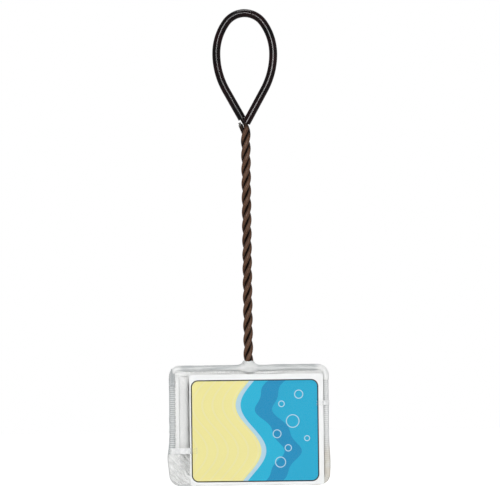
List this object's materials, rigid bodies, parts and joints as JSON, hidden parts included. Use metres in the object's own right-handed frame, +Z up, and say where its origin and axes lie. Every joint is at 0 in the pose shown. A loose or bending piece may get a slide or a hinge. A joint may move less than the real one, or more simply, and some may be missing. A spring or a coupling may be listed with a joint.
{
  "type": "aquarium fish net",
  "caption": "Hand net for an aquarium: twisted wire shaft, sleeved hand loop, rectangular hoop with a fine mesh bag, and a printed card taped over the mouth.",
  "frame": {"origin": "where a hook bears, inside the top of the hand loop, on the shaft's axis", "axes": "+Z up along the shaft, towards the hand loop; +Y back, from the mouth into the bag; +X to the right seen from the front"},
  "size_m": [0.1024, 0.0619, 0.303],
  "materials": {
    "coated_wire": "satin brown vinyl coat",
    "sleeve_vinyl": "glossy",
    "hem_tape": "ribbed mesh tape",
    "bag_mesh": "fine woven mesh",
    "nylon_thread": "nylon thread",
    "card_stock": "printed card",
    "clear_tape": "clear film"
  },
  "bodies": {
    "net": {"frame_wire": "coated_wire", "grip_sleeve": "sleeve_vinyl", "hem_top": "hem_tape", "hem_left": "hem_tape", "hem_bottom": "hem_tape", "hem_right": "hem_tape", "stitching_top": "nylon_thread", "stitching_left": "nylon_thread", "stitching_bottom": "nylon_thread", "stitching_right": "nylon_thread", "bag_main_panel": "bag_mesh", "bag_left_gusset": "bag_mesh", "bag_right_gusset": "bag_mesh", "seam_left": "nylon_thread", "seam_right": "nylon_thread"},
    "card": {"insert_card": "card_stock", "card_tape_left": "clear_tape", "card_tape_right": "clear_tape"}
  },
  "joints": [
    {"name": "card_pull", "type": "slide", "parent": "net", "child": "card", "axis": [0, -1, 0], "range_m": [0, 0.08]}
  ]
}
